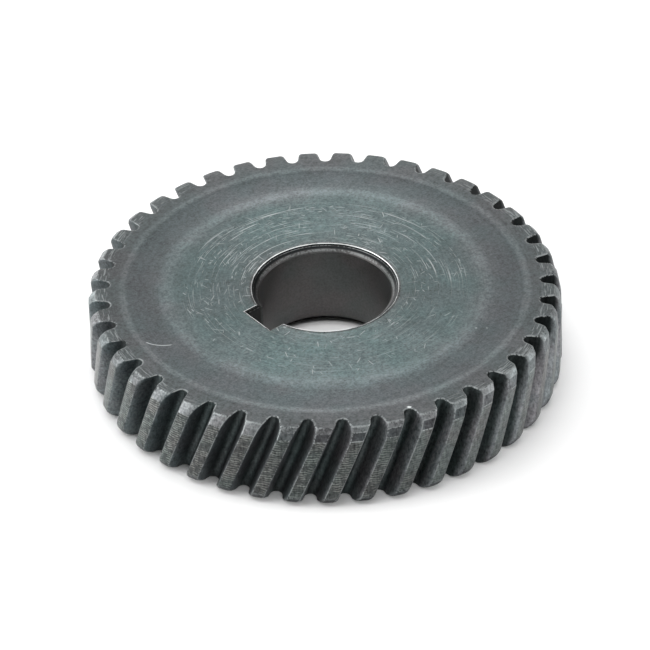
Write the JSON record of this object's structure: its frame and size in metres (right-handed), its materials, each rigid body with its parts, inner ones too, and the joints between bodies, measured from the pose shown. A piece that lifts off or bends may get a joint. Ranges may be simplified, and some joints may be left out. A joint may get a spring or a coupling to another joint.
{
  "type": "helical gear",
  "caption": "Right-hand helical gear in dark steel, with flat faces, a chamfered bore and a keyway.",
  "frame": {"origin": "on the bore's axis, in the plane of the lower face", "axes": "+Z along the bore's axis from the lower face to the upper one; the keyway points along -X; +Y completes a right-handed set"},
  "size_m": [0.057, 0.057, 0.0113],
  "materials": {
    "gear_steel": "dark oxide, machined"
  },
  "bodies": {
    "root": {"helical_gear": "gear_steel"}
  },
  "joints": []
}
